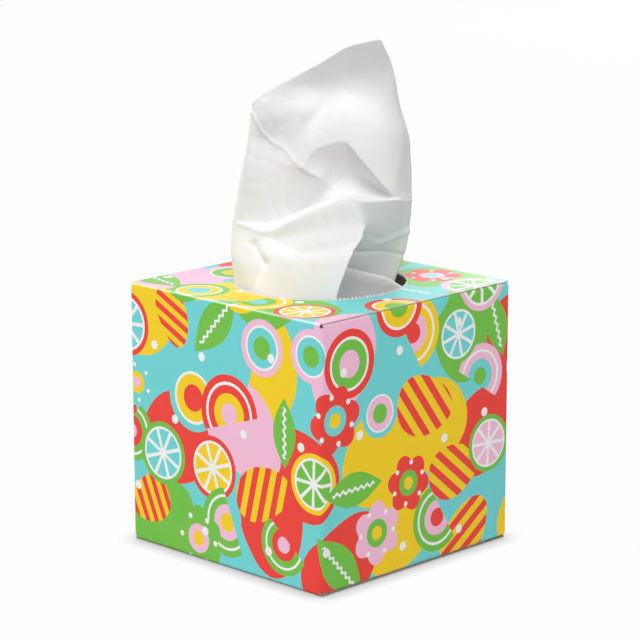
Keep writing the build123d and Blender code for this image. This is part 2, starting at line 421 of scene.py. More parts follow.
@dataclass
class PrintDesign:
    """A dense print of overlapping fields, flowers, leaves, slices, rings, stripes and fans.

    A figure's sizes are shares of its radius, but for strokes and waves, which are in millimetres.
    """

    side: float
    seed: int = 11
    stagger: float = 0.25
    jitter: float = 0.22
    phases: float = 6.0

    field_pitch: float = 34.0
    field_size: float = 46.0
    field_aspect: float = 0.8
    ink_steps: tuple[int, ...] = (1, 2, 3)
    inks: tuple[Ink, ...] = (Ink.TURQUOISE, Ink.RED, Ink.PINK, Ink.GREEN, Ink.YELLOW)

    motif_pitch: float = 25.0
    motif_radius: tuple[float, float] = (9.5, 14.5)
    motif_shift: int = 2
    dots: int = 9
    dot_rows: int = 3
    dot_radius: float = 1.9
    dot_steps: int = 18

    petal_count: int = 6
    petal_depth: float = 0.24
    petal_spot: Disc = Disc(0.085, 10)
    petal_spot_reach: float = 0.7
    flower_discs: tuple[Disc, ...] = (Disc(0.44, 28), Disc(0.22, 20))
    leaf_length: float = 2.9
    leaf_breadth: float = 1.25
    vein_length: float = 2.1
    vein_swing: float = 0.6
    vein_wave: float = 3.4
    stroke: float = 1.3
    slice_discs: tuple[Disc, ...] = (Disc(1.0, 44), Disc(0.84, 40))
    segments: int = 8
    segment_reach: Point = (0.14, 0.76)
    segment_span: Point = (0.1, 0.9)
    ring_discs: tuple[Disc, ...] = tuple(Disc(share, 40) for share in (1.0, 0.78, 0.7, 0.4))
    stripe_field: Point = (2.5, 1.8)
    stripe_starts: tuple[float, ...] = (-1.05, -0.55, -0.05, 0.45, 0.95)
    stripe_breadth: float = 0.25
    fan_discs: tuple[Disc, ...] = tuple(Disc(share, 48) for share in (1.25, 1.02, 0.92, 0.66, 0.34))
    fan_cut: float = 0.3

    patches: list[PrintPatch] = field(default_factory=list)

    def wraps(self) -> dict[tuple[Face, Face], Callable[[float, float], Point]]:
        """How a point past one face's edge lies on the face beyond that edge."""
        side = self.side
        found = {
            (Face.FRONT, Face.TOP): lambda p, q: (p, q - side),
            (Face.TOP, Face.FRONT): lambda p, q: (p, q + side),
            (Face.RIGHT, Face.TOP): lambda p, q: (side - q, p),
            (Face.TOP, Face.RIGHT): lambda p, q: (q, side - p),
            (Face.BACK, Face.TOP): lambda p, q: (-p, side - q),
            (Face.TOP, Face.BACK): lambda p, q: (-p, side - q),
            (Face.LEFT, Face.TOP): lambda p, q: (q - side, -p),
            (Face.TOP, Face.LEFT): lambda p, q: (-q, side + p),
            (Face.BACK, Face.BOTTOM): lambda p, q: (p, q + side),
            (Face.BOTTOM, Face.BACK): lambda p, q: (p, q - side),
        }
        for here, beyond in zip(PANELS, PANELS[1:] + PANELS[:1]):
            found[here, beyond] = lambda p, q: (p - side, q)
            found[beyond, here] = lambda p, q: (p + side, q)
        return found

    def put(self, face: Face, ink: Ink, outline: Outline, middle: Point, turn: float) -> None:
        """Places an outline on a face, and on the faces that it reaches over an edge.

        Args:
            face: The face that the outline's middle is on.
            ink: Its ink.
            outline: Its points round its own middle.
            middle: Where its middle goes.
            turn: How far it is turned, in radians.
        """
        cos, sin, half = math.cos(turn), math.sin(turn), self.side / 2
        placed = [(middle[0] + x * cos - y * sin, middle[1] + x * sin + y * cos) for x, y in outline]
        self.patches.append(PrintPatch(face, ink, placed))
        for (here, beyond), wrap in self.wraps().items():
            if here is not face:
                continue
            over = [wrap(p, q) for p, q in placed]
            if any(abs(p) < half and abs(q) < half for p, q in over):
                self.patches.append(PrintPatch(beyond, ink, over))

    @staticmethod
    def round_fields(discs: Sequence[Disc], inks: Sequence[Ink], radius: float) -> Figure:
        """A figure's round fields, each in its ink."""
        return [(ink, disc.outline(radius)) for disc, ink in zip(discs, inks)]

    def figure(self, motif: Motif, radius: float, inks: Sequence[Ink], phase: float) -> Figure:
        """Outlines of one figure, in the order that they are printed.

        Args:
            motif: The kind of figure.
            radius: Its radius.
            inks: Three inks, the first for the largest field.
            phase: A number that varies its form.

        Returns:
            Pairs of ink and outline.
        """
        first, second, third = inks
        match motif:
            case Motif.FLOWER:
                spots = circle(self.petal_spot_reach * radius, self.petal_count)
                return [
                    (first, petals(radius, self.petal_count, self.petal_depth)),
                    *[(Ink.WHITE, self.petal_spot.outline(radius, middle)) for middle in spots],
                    *self.round_fields(self.flower_discs, (second, third), radius),
                ]
            case Motif.LEAF:
                vein = wavy_line(self.vein_length * radius, self.stroke, self.vein_swing, self.vein_wave)
                return [
                    (
                        second if first is Ink.GREEN else Ink.GREEN,
                        leaf_blade(self.leaf_length * radius, self.leaf_breadth * radius),
                    ),
                    (Ink.WHITE, vein),
                ]
            case Motif.SLICE:
                step = 2 * math.pi / self.segments
                inner, outer = (share * radius for share in self.segment_reach)
                start, end = self.segment_span
                spans = [((n + start) * step, (n + end) * step) for n in range(self.segments)]
                rind = self.round_fields(self.slice_discs, (first, Ink.WHITE), radius)
                return rind + [(second, wedge(inner, outer, *span)) for span in spans]
            case Motif.RINGS:
                return self.round_fields(self.ring_discs, (first, Ink.WHITE, second, third), radius)
            case Motif.STRIPES:
                blob = pebble(*(share * radius for share in self.stripe_field), phase)
                across = (math.cos(phase), math.sin(phase))
                back = (-across[0], -across[1])
                starts = [radius * share for share in self.stripe_starts]
                breadth = self.stripe_breadth * radius
                bars = [clipped(clipped(blob, across, start + breadth), back, -start) for start in starts]
                return [(Ink.YELLOW, blob)] + [(Ink.RED, bar) for bar in bars if len(bar) > 2]
            case Motif.FAN:
                whole = self.round_fields(self.fan_discs, (first, Ink.WHITE, first, second, third), radius)
                return [(ink, clipped(disc, (0, -1), self.fan_cut * radius)) for ink, disc in whole]

    def spots(self, pitch: float, draw: random.Random) -> list[Point]:
        """Places about a pitch apart over a face, each drawn a little off its place, in a random order."""
        count = round(self.side / pitch)
        step = self.side / count
        found = []
        for row in range(count):
            shift = self.stagger if row % 2 else -self.stagger
            for column in range(count):
                off = [draw.uniform(-self.jitter, self.jitter) for _ in range(2)]
                p = (column + 0.5 + shift + off[0]) * step - self.side / 2
                q = (row + 0.5 + off[1]) * step - self.side / 2
                found.append((p, q))
        draw.shuffle(found)
        return found

    def draw(self) -> list[PrintPatch]:
        """Draws the whole design.

        Returns:
            The patches of every face, the last on top.
        """
        draw = random.Random(self.seed)
        turned = 0
        for face in Face:
            for middle in self.spots(self.field_pitch, draw):
                ink = self.inks[turned % len(self.inks)]
                turned += draw.choice(self.ink_steps)
                phase = draw.uniform(0, self.phases)
                blob = pebble(self.field_size, self.field_aspect * self.field_size, phase)
                self.put(face, ink, blob, middle, draw.uniform(0, math.pi))
        cycle = list(Motif)
        for number, face in enumerate(Face):
            for step, middle in enumerate(self.spots(self.motif_pitch, draw)):
                motif = cycle[(step + self.motif_shift * number) % len(cycle)]
                inks = draw.sample(self.inks, 3)
                radius = draw.uniform(*self.motif_radius)
                turn = draw.uniform(0, 2 * math.pi)
                for ink, outline in self.figure(motif, radius, inks, draw.uniform(0, self.phases)):
                    self.put(face, ink, outline, middle, turn)
            for middle in self.spots(self.side / self.dot_rows, draw)[: self.dots]:
                self.put(face, Ink.WHITE, circle(self.dot_radius, self.dot_steps), middle, 0)
        return self.patches


@dataclass
class Flap:
    """One flap of the carton: its hinge panel, its plate and where that lies."""

    panel: Face
    at_top: bool
    fold_length: float
    plate_length: float
    length: float
    level: float
    mitre: float = 0.0


@dataclass
class Span:
    """One straight or bent stretch of the strip round the carton."""

    start: float
    length: float
    middle: Point
    outward: float
    bent: bool


@dataclass
class Carton:
    """The folded carton, laid out as a flat blank, printed there and folded up.

    A place on the blank is given by its run along the strip from the left panel's free edge, and its rise.
    """

    side: float
    board: float = 0.45
    crease_radius: float = 0.5
    glue_line: float = 0.1
    opening_radius: float = 36.0
    tab_length: float = 13.0
    seam_setback: float = 0.4
    edge_setback: float = 0.3
    corner_slit: float = 0.15
    corner_relief: float = 0.2
    flap_to_opening: float = 2.0
    inner_flap_gap: float = 12.0
    dust_flap_gap: float = 18.0
    dust_flap_taper: float = 4.0
    bend_steps: int = 6
    opening_steps: int = 144
    inner_map_scale: float = 0.35
    map_margin: float = 0.01
    spans: list[Span] = field(default_factory=list)
    flaps: list[Flap] = field(default_factory=list)

    def __post_init__(self) -> None:
        """Works out the strip's spans and the flaps."""
        self.radius = self.crease_radius + self.board
        self.layer = self.board + self.glue_line
        self.low = 2 * self.layer + self.radius + self.corner_relief
        self.high = self.side - self.layer - self.radius - self.corner_relief
        self.arc = math.pi / 2 * self.radius
        self.half = self.side / 2
        self.lay_strip()
        self.lay_flaps()

    def lay_strip(self) -> None:
        """Lists the straight and bent stretches of the strip, from the left panel to the glued tab."""
        half, radius = self.half, self.radius
        hinge = half - radius
        tab = self.layer - half
        straights = [
            ((-half, half - self.seam_setback), Face.LEFT, self.side - self.seam_setback - radius),
            ((-hinge, -half), Face.FRONT, self.side - 2 * radius),
            ((half, -hinge), Face.RIGHT, self.side - 2 * radius),
            ((hinge, half), Face.BACK, self.side - self.layer - 2 * radius),
            ((tab, hinge), Face.LEFT, self.tab_length - radius),
        ]
        bends = [(-hinge, -hinge), (hinge, -hinge), (hinge, hinge), (tab + radius, hinge)]
        at = 0.0
        for number, (start, panel, length) in enumerate(straights):
            outward = math.radians(OUTWARD[panel])
            self.spans.append(Span(at, length, start, outward, False))
            at += length
            if number < len(bends):
                self.spans.append(Span(at, self.arc, bends[number], outward, True))
                at += self.arc
        self.strip_length = at
        straight = self.spans[::2]
        self.axis = {panel: span.start + hinge for panel, span in zip(PANELS, straight)}
        self.axis[Face.LEFT] = half - self.seam_setback

    def lay_flaps(self) -> None:
        """Lists the eight flaps, the top cover flap and the outer base flap being the printed ones."""
        fold = self.side - 2 * (self.radius + self.corner_slit)
        wide = self.side - 2 * self.edge_setback
        long = self.side - self.edge_setback
        lip = self.half - self.opening_radius - self.flap_to_opening
        dust = (self.side - self.dust_flap_gap) / 2
        inside_top = self.side - self.layer
        mitre = lip - self.radius
        taper = self.dust_flap_taper
        self.cover = Flap(Face.FRONT, True, fold, wide, long, self.side)
        self.base = Flap(Face.BACK, False, fold, wide, long, 0.0)
        self.flaps = [
            self.cover,
            Flap(Face.RIGHT, True, fold, fold, lip, inside_top, mitre),
            Flap(Face.LEFT, True, fold, fold, lip, inside_top, mitre),
            Flap(Face.BACK, True, fold, fold, lip, inside_top, mitre),
            self.base,
            Flap(Face.FRONT, False, fold, fold, self.side - self.inner_flap_gap, self.layer),
            Flap(Face.RIGHT, False, fold, fold, dust, 2 * self.layer, taper),
            Flap(Face.LEFT, False, fold, fold, dust, 2 * self.layer, taper),
        ]

    def stub(self, flap: Flap) -> float:
        """The flat stretch of panel under a flap's bend."""
        if flap.at_top:
            return flap.level - self.radius - self.high
        return self.low - flap.level - self.radius

    def rise(self, flap: Flap, along: float) -> float:
        """The blank's rise at a distance along a flap from its panel's edge."""
        return self.high + along if flap.at_top else self.low - along

    def along(self, at_top: bool, rise: float) -> float:
        """The distance past a panel's upper or lower edge of a rise on the blank."""
        return rise - self.high if at_top else self.low - rise

    def flap_outline(self, flap: Flap) -> Outline:
        """A flap's edge on the blank, from its lower-run side to its higher-run side."""
        middle = self.axis[flap.panel]
        hinge = self.stub(flap) + self.arc
        free = hinge + flap.length - self.radius
        side = [
            (flap.fold_length / 2, 0.0),
            (flap.fold_length / 2, hinge),
            (flap.plate_length / 2, hinge),
            (flap.plate_length / 2 - flap.mitre, free),
        ]
        side = [point for number, point in enumerate(side) if number == 0 or point != side[number - 1]]
        before = [(middle - wide, self.rise(flap, along)) for wide, along in side]
        after = [(middle + wide, self.rise(flap, along)) for wide, along in reversed(side)]
        return before + after

    def blank_outline(self) -> Outline:
        """The whole blank's edge, counter-clockwise."""
        below = sorted((f for f in self.flaps if not f.at_top), key=lambda f: self.axis[f.panel])
        above = sorted((f for f in self.flaps if f.at_top), key=lambda f: -self.axis[f.panel])
        edge: Outline = [(0.0, self.low)]
        for flap in below:
            edge += self.flap_outline(flap)
        edge += [(self.strip_length, self.low), (self.strip_length, self.high)]
        for flap in above:
            edge += reversed(self.flap_outline(flap))
        return edge + [(0.0, self.high)]

    def fold_lines(self) -> list[tuple[Point, Point]]:
        """The lines across every bend, evenly spaced."""
        lines = []
        shares = [step / self.bend_steps for step in range(self.bend_steps + 1)]
        for span in (s for s in self.spans if s.bent):
            runs = [span.start + share * span.length for share in shares]
            lines += [((run, self.low), (run, self.high)) for run in runs]
        for flap in self.flaps:
            middle, half = self.axis[flap.panel], flap.fold_length / 2
            rises = [self.rise(flap, self.stub(flap) + share * self.arc) for share in shares]
            lines += [((middle - half, rise), (middle + half, rise)) for rise in rises]
        return lines

    def face_middle(self, face: Face) -> Point:
        """A printed face's middle on the blank. The top's is the opening's too."""
        if face in PANELS:
            return self.axis[face], self.half
        flap = self.cover if face is Face.TOP else self.base
        return self.axis[flap.panel], self.rise(flap, self.stub(flap) + self.arc + self.half - self.radius)

    def face_at(self, run: float, rise: float) -> Face | None:
        """The printed face at a place on the blank, or None on a flap that the print doesn't reach."""
        bends = [span.start + span.length / 2 for span in self.spans if span.bent]
        panel = next((face for face, end in zip(PANELS, bends) if run < end), None)
        for flap in self.flaps:
            if flap.panel is not panel or flap.at_top is not (rise > self.half):
                continue
            printed = flap is self.cover or flap is self.base
            edge_of_panel = self.stub(flap) + (self.arc / 2 if printed else self.arc)
            if self.along(flap.at_top, rise) > edge_of_panel:
                plate = Face.TOP if flap.at_top else Face.BOTTOM
                return plate if printed else None
        return panel

    def folded(self, run: float, rise: float, depth: float) -> Vector:
        """Where a place on the blank is when the carton is folded.

        Args:
            run: Distance along the strip.
            rise: Height on the blank.
            depth: Depth below the board's printed side.

        Returns:
            The place in millimetres.
        """
        if self.low - NEAR <= rise <= self.high + NEAR:
            span = next((s for s in self.spans if run <= s.start + s.length), self.spans[-1])
            along = run - span.start
            angle = span.outward + (along / self.radius if span.bent else 0.0)
            out = Vector((math.cos(angle), math.sin(angle), 0))
            place = Vector((*span.middle, 0))
            if span.bent:
                place += out * (self.radius - depth)
            else:
                place += Vector((-out.y, out.x, 0)) * along - out * depth
            return place + Vector((0, 0, rise))
        at_top = rise > self.half
        flap = min((f for f in self.flaps if f.at_top is at_top), key=lambda f: abs(self.axis[f.panel] - run))
        along = self.along(at_top, rise)
        stub, upward = self.stub(flap), 1 if at_top else -1
        turn = min(max((along - stub) / self.radius, 0.0), math.pi / 2)
        bend = self.radius - depth
        out_reach = self.half - self.radius + bend * math.cos(turn) - max(along - stub - self.arc, 0.0)
        corner = flap.level - upward * self.radius
        level = corner + upward * bend * math.sin(turn) - upward * max(stub - along, 0.0)
        angle = math.radians(OUTWARD[flap.panel])
        out = Vector((math.cos(angle), math.sin(angle), 0))
        travel = Vector((-out.y, out.x, 0))
        return out * out_reach + travel * (run - self.axis[flap.panel]) + Vector((0, 0, level))

    def highlight_and_wear_at(self, run: float, rise: float) -> float:
        """How much painted highlight, partly rubbed ink, a place on the blank gets, from 0 to 1 along the
        middle of a printed flap's fold.
        """
        for flap in (self.cover, self.base):
            share = (self.along(flap.at_top, rise) - self.stub(flap)) / self.arc
            if 0 < share < 1 and abs(run - self.axis[flap.panel]) < self.half:
                return math.sin(math.pi * share)
        return 0.0

    def triangulate(
        self, edge: Outline, hole: Outline, patches: Sequence[Outline]
    ) -> tuple[list[Point], list[list[int]], list[list[int]]]:
        """Cuts the blank into triangles along its folds and the print's outlines.

        Args:
            edge: The blank's edge.
            hole: The opening's edge.
            patches: The print's outlines on the blank.

        Returns:
            The places, the triangles inside the blank, and for each the numbers of the patches it lies in.
        """
        places: list[Vector] = []
        outlines: list[list[int]] = []
        bounds = (edge, hole)
        for outline in (*bounds, *patches):
            outlines.append(list(range(len(places), len(places) + len(outline))))
            places += [Vector(point) for point in outline]
        cuts = []
        for start, end in self.fold_lines():
            cuts.append((len(places), len(places) + 1))
            places += [Vector(start), Vector(end)]
        found, _, triangles, _, _, sources = delaunay_2d_cdt(places, cuts, outlines, 0, MERGED, True)
        kept = [n for n, inside in enumerate(sources) if 0 in inside and 1 not in inside]
        first = len(bounds)
        wanted = [[source - first for source in sources[n] if source >= first] for n in kept]
        return [(p.x, p.y) for p in found], [list(triangles[n]) for n in kept], wanted

    @staticmethod
    def edge_loops(triangles: Sequence[Sequence[int]]) -> list[list[int]]:
        """The open edges of a triangulated sheet, joined into loops in the triangles' sense."""
        ahead: dict[int, int] = {}
        sides = {(a, b) for t in triangles for a, b in zip(t, (*t[1:], t[0]))}
        for start, end in sides:
            if (end, start) not in sides:
                ahead[start] = end
        loops = []
        while ahead:
            start = min(ahead)
            loop = [start]
            while (after := ahead.pop(loop[-1])) != start:
                loop.append(after)
            loops.append(loop)
        return loops

    @staticmethod
    def key(point: Point) -> Point:
        """A place on the blank rounded off, to find it again on the board's other side."""
        return round(point[0], KEY_DIGITS), round(point[1], KEY_DIGITS)

    def build(self, design: PrintDesign) -> bpy.types.Object:
        """Prints and folds the carton.

        Args:
            design: The print.

        Returns:
            The carton's object.
        """
        patches = design.draw()
        laid = []
        for patch in patches:
            middle = self.face_middle(patch.face)
            laid.append([(middle[0] + p, middle[1] + q) for p, q in patch.outline])
        hole = circle(self.opening_radius, self.opening_steps, self.face_middle(Face.TOP))
        places, outer, sources = self.triangulate(self.blank_outline(), hole, laid)
        inks = list(Ink)
        numbers = []
        for triangle, inside in zip(outer, sources):
            run, rise = (sum(places[n][axis] for n in triangle) / 3 for axis in (0, 1))
            face = self.face_at(run, rise)
            shown = [n for n in inside if patches[n].face is face]
            ink = patches[max(shown)].ink if shown else Ink.WHITE if face is None else design.inks[0]
            numbers.append(inks.index(ink))
        loops = self.edge_loops(outer)
        rings = [[places[n] for n in loop] for loop in loops]
        rings.sort(key=lambda ring: max(p[0] for p in ring) - min(p[0] for p in ring))
        inner_places, inner, _ = self.triangulate(rings[1], rings[0][::-1], [])
        return self.fold(places, outer, numbers, loops, inner_places, inner)

    def fold(
        self,
        places: list[Point],
        outer: list[list[int]],
        numbers: list[int],
        loops: list[list[int]],
        inner_places: list[Point],
        inner: list[list[int]],
    ) -> bpy.types.Object:
        """Folds the triangulated blank into a closed sheet of board and dresses it.

        Args:
            places: The printed side's places on the blank.
            outer: The printed side's triangles.
            numbers: The ink of each of them.
            loops: The printed side's open edges.
            inner_places: The raw side's places.
            inner: The raw side's triangles.

        Returns:
            The carton's object.
        """
        used = sorted({n for t in outer for n in t})
        index = {n: i for i, n in enumerate(used)}
        flat = [places[n] for n in used]
        solid = [self.folded(*point, 0.0) for point in flat]
        faces = [[index[n] for n in t] for t in outer]
        inner_index = {}
        for n in sorted({n for t in inner for n in t}):
            inner_index[n] = len(solid)
            solid.append(self.folded(*inner_places[n], self.board))
            flat.append(inner_places[n])
        faces += [[inner_index[n] for n in reversed(t)] for t in inner]
        nearest = {self.key(point): n for n, point in enumerate(inner_places)}
        raw, cut = len(Ink), len(Ink) + 1
        kinds = numbers + [raw] * len(inner)
        for loop in loops:
            for here, after in zip(loop, loop[1:] + loop[:1]):
                below = [inner_index[nearest[self.key(places[n])]] for n in (here, after)]
                faces.append([index[after], index[here], *below])
                kinds.append(cut)
        carton = piece_from("printed_carton", solid, faces)
        for finish in (*[ink_finish(ink) for ink in Ink], RAW_BOARD, CUT_EDGE):
            carton.data.materials.append(finish.material())
        carton.data.polygons.foreach_set("material_index", kinds)
        self.map_for_export(carton, flat, kinds, raw)
        # painted highlight along the cover flaps' folds, which partly stands for ink rubbed thin there
        rubbed = carton.data.attributes.new(FOLD_HIGHLIGHT_AND_WEAR, "FLOAT", "POINT")
        rubbed.data.foreach_set("value", [self.highlight_and_wear_at(*point) for point in flat])
        carton.data.shade_smooth()
        carton.data.set_sharp_from_angle(angle=SHARP)
        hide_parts("carton")
        return carton

    def map_for_export(self, carton: bpy.types.Object, flat: list[Point], kinds: list[int], raw: int) -> None:
        """Gives the carton a map that is its flat blank, with the raw side below it and smaller.

        Args:
            carton: The carton's object.
            flat: The blank place of every vertex.
            kinds: The material number of every face.
            raw: The material number of the raw side.
        """
        left, right = min(p[0] for p in flat), max(p[0] for p in flat)
        low, high = min(p[1] for p in flat), max(p[1] for p in flat)
        small, margin, foot = self.inner_map_scale, self.map_margin, self.map_margin / 2
        scale = (1 - 2 * margin) / max(right - left, (high - low) * (1 + small))
        lift = margin + (high - low) * scale * small + foot
        layer = carton.data.uv_layers.new(name=BAKE_MAP)
        for face, kind in zip(carton.data.polygons, kinds):
            for corner in face.loop_indices:
                run, rise = flat[carton.data.loops[corner].vertex_index]
                u, v = (run - left) * scale, (rise - low) * scale
                if kind >= raw:
                    layer.data[corner].uv = (margin + u * small, foot + v * small)
                else:
                    layer.data[corner].uv = (margin + u, lift + v)


@dataclass
class PerforatedRim:
    """The torn nibs round the opening, where its perforated disc came away."""

    carton: Carton
    pitch: float = 1.7
    nib_radius: float = 0.5
    nib_stretch: float = 1.2
    nib_tilt: float = 60.0
    nib_reach: float = 0.4
    nib_steps: int = 12
    nib_sizes: tuple[float, float] = (0.75, 1.15)
    inset: float = 0.08
    seed: int = 5

    def tree(self, finish: bpy.types.Material) -> bpy.types.NodeTree:
        """Builds the Geometry Nodes tree that sets nibs round a circle.

        Args:
            finish: The nibs' material.

        Returns:
            The tree, with inputs Opening Radius, Nib Radius, Nib Thickness, Level and Nib Count.
        """
        sizes = dict.fromkeys(("Opening Radius", "Nib Radius", "Nib Thickness", "Level"), FLOAT)
        inputs = {"Geometry": GEOMETRY, **sizes, "Nib Count": WHOLE}
        tree = new_group("Perforation Nibs", "GeometryNodeTree", inputs, {"Geometry": GEOMETRY})
        nodes = tree.nodes
        given, result = nodes.new("NodeGroupInput"), nodes.new("NodeGroupOutput")
        rim = nodes.new("GeometryNodeMeshCircle")
        spots = nodes.new("GeometryNodeMeshToPoints")
        disc = nodes.new("GeometryNodeMeshCylinder")
        disc.inputs["Vertices"].default_value = self.nib_steps
        nib = nodes.new("GeometryNodeTransform")
        nib.inputs["Scale"].default_value = (self.nib_stretch, 1, 1)
        tilt, reach = math.radians(self.nib_tilt), self.nib_reach * MM
        nib.inputs["Rotation"].default_value = (0, tilt, 0)
        nib.inputs["Translation"].default_value = (-reach * math.cos(tilt), 0, reach * math.sin(tilt))
        outward = nodes.new("GeometryNodeInputPosition")
        turn = nodes.new("FunctionNodeAlignRotationToVector")
        turn.axis = "X"
        size = nodes.new("FunctionNodeRandomValue")
        size.data_type = "FLOAT_VECTOR"
        for end, scale in zip(("Min", "Max"), self.nib_sizes):
            size.inputs[end].default_value = (scale, scale, 1)
        size.inputs["Seed"].default_value = self.seed
        place = nodes.new("GeometryNodeInstanceOnPoints")
        lift = nodes.new("ShaderNodeCombineXYZ")
        move = nodes.new("GeometryNodeTransform")
        real = nodes.new("GeometryNodeRealizeInstances")
        dress = nodes.new("GeometryNodeSetMaterial")
        dress.inputs["Material"].default_value = finish
        join(
            tree,
            (given, "Nib Count", rim, "Vertices"),
            (given, "Opening Radius", rim, "Radius"),
            (given, "Nib Radius", disc, "Radius"),
            (given, "Nib Thickness", disc, "Depth"),
            (disc, "Mesh", nib, "Geometry"),
            (outward, "Position", turn, "Vector"),
            (rim, "Mesh", spots, "Mesh"),
            (spots, "Points", place, "Points"),
            (nib, "Geometry", place, "Instance"),
            (turn, "Rotation", place, "Rotation"),
            (size, "Value", place, "Scale"),
            (place, "Instances", move, "Geometry"),
            (given, "Level", lift, "Z"),
            (lift, "Vector", move, "Translation"),
            (move, "Geometry", real, "Geometry"),
            (real, "Geometry", dress, "Geometry"),
            (dress, "Geometry", result, "Geometry"),
        )
        return tree

    def build(self) -> bpy.types.Object:
        """Makes the ring of nibs.

        Returns:
            The nibs' object.
        """
        radius = self.carton.opening_radius
        sizes = {
            "Opening Radius": radius * MM,
            "Nib Radius": self.nib_radius * MM,
            "Nib Thickness": (self.carton.board - 2 * self.inset) * MM,
            "Level": (self.carton.side - self.carton.board / 2) * MM,
            "Nib Count": round(2 * math.pi * radius / self.pitch),
        }
        maker = bpy.data.objects.new("nib_maker", bpy.data.meshes.new("nib_maker"))
        bpy.context.scene.collection.objects.link(maker)
        nodes = maker.modifiers.new("Nibs", "NODES")
        nodes.node_group = self.tree(TORN_EDGE.material())
        for socket in nodes.node_group.interface.items_tree:
            if socket.in_out == "INPUT" and socket.name in sizes:
                nodes[socket.identifier] = sizes[socket.name]
        made = bpy.data.meshes.new_from_object(maker.evaluated_get(bpy.context.evaluated_depsgraph_get()))
        maker.modifiers.remove(nodes)
        bpy.data.objects.remove(maker)
        made.name = "perforation_nibs"
        nibs = bpy.data.objects.new("perforation_nibs", made)
        bpy.context.scene.collection.objects.link(nibs)
        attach(nibs, "root")
        return nibs


@dataclass
class CreasedNet:
    """A sheet drawn through a net of places, smooth but for the creases along some of its lines."""

    net: np.ndarray
    row_crease: np.ndarray
    column_crease: np.ndarray
    row_steps: int
    column_steps: int

    @staticmethod
    def drawn(values: np.ndarray, crease: np.ndarray, steps: int) -> np.ndarray:
        """Draws curves through the first axis of an array.

        Args:
            values: Places, the curves' own points along the first axis.
            crease: For each place, 0 where the curve is smooth to 1 where it turns sharply.
            steps: How many steps go between two places.

        Returns:
            The places along the curves.
        """
        runs = np.diff(values, axis=0)
        before = np.concatenate([runs[:1], runs])
        after = np.concatenate([runs, runs[-1:]])
        mean = (before + after) / 2
        leaving = mean + (after - mean) * crease[..., None]
        arriving = mean + (before - mean) * crease[..., None]
        found = []
        for step in range(steps):
            t = step / steps
            start, end = 2 * t**3 - 3 * t**2 + 1, 3 * t**2 - 2 * t**3
            out, into = t**3 - 2 * t**2 + t, t**3 - t**2
            found.append(values[:-1] * start + values[1:] * end + leaving[:-1] * out + arriving[1:] * into)
        woven = np.stack(found, axis=1).reshape(-1, *values.shape[1:])
        return np.concatenate([woven, values[-1:]])

    def surface(self) -> np.ndarray:
        """The sheet's places, by row and column."""
        across = self.drawn(self.net.transpose(1, 0, 2), self.column_crease.T, self.column_steps)
        straight = np.ones_like(self.row_crease.T)
        sharp = self.drawn(self.row_crease.T[..., None], straight, self.column_steps)[..., 0]
        return self.drawn(across.transpose(1, 0, 2), sharp.T, self.row_steps)


def grid_faces(rows: int, columns: int) -> list[list[int]]:
    """Faces of a grid of vertices, row by row."""
    return [
        [r * columns + c, r * columns + c + 1, (r + 1) * columns + c + 1, (r + 1) * columns + c]
        for r in range(rows - 1)
        for c in range(columns - 1)
    ]


def grid_normals(places: np.ndarray) -> np.ndarray:
    """Unit normals of a grid of places."""
    normal = np.cross(np.gradient(places, axis=1), np.gradient(places, axis=0))
    return normal / np.maximum(np.linalg.norm(normal, axis=2, keepdims=True), TINY)


def to_frame(places: np.ndarray) -> np.ndarray:
    """Turns places on the across, toward and up axes into the part's frame."""
    turn = math.radians(FACING)
    across, toward, up = places[..., 0], places[..., 1], places[..., 2]
    x = across * math.cos(turn) + toward * math.sin(turn)
    y = across * math.sin(turn) - toward * math.cos(turn)
    return np.stack([x, y, up], axis=-1)


@dataclass(frozen=True)
class Crease:
    """A crease pressed into a sheet along a line, a ridge if its height is positive and else a groove.

    The line's points are across and up as seen from the front, where what is nearer looks lower.
    """

    height: float
    breadth: float
    line: tuple[Point, ...]
    steepness: float = 1.5

    def push(self, across: np.ndarray, seen: np.ndarray) -> np.ndarray:
        """How far the crease pushes out each place of a sheet.

        Args:
            across: The places' first coordinates.
            seen: The heights that they are seen at.

        Returns:
            The push of each place.
        """
        nearest = np.full(across.shape, np.inf)
        for (start, low), (end, high) in zip(self.line, self.line[1:]):
            run, rise = end - start, high - low
            share = ((across - start) * run + (seen - low) * rise) / (run**2 + rise**2)
            share = np.clip(share, 0, 1)
            nearest = np.minimum(nearest, np.hypot(across - start - share * run, seen - low - share * rise))
        return self.height * np.clip(1 - nearest / self.breadth, 0, 1) ** self.steepness


@dataclass(frozen=True)
class Wrinkles:
    """Fine unevenness of soft paper, as a push along its normal."""

    broad: float
    broad_size: float
    fine: float
    fine_size: float
    fine_offset: Place = (31, 7, 3)
    fold_sharpness: int = 6
    fold_mean: float = 0.3

    def pushed(self, places: np.ndarray, keep: np.ndarray) -> np.ndarray:
        """Pushes a grid of places in and out.

        Args:
            places: The sheet's places.
            keep: For each place, the share of the push that it gets.

        Returns:
            The pushed places.
        """
        push = np.zeros(places.shape[:2])
        offset = Vector(self.fine_offset)
        for index in np.ndindex(*push.shape):
            spot = Vector(places[index])
            broad = noise.noise(spot / self.broad_size)
            fold = 1 - abs(noise.noise(spot / self.fine_size + offset))
            push[index] = self.broad * broad + self.fine * (fold**self.fold_sharpness - self.fold_mean)
        return places + grid_normals(places) * (push * keep)[..., None]


def sheet_from(
    name: str, surface: np.ndarray, node: str, thickness: float
) -> bpy.types.Object:
    """Args:
        name: The piece's name.
        surface: The sheet's places, by row and column, in millimetres.
        node: The CAD node that it replaces.
        thickness: Its thickness in millimetres.

    Returns:
        The sheet's object.
    """
    rows, columns = surface.shape[:2]
    tissue = piece_from(name, surface.reshape(-1, 3), grid_faces(rows, columns))
    tissue.data.materials.append(TISSUE.material())
    tissue.data.shade_smooth()
    wall = tissue.modifiers.new("Thickness", "SOLIDIFY")
    wall.thickness = thickness * MM
    wall.offset = 0
    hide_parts(node)
    return tissue


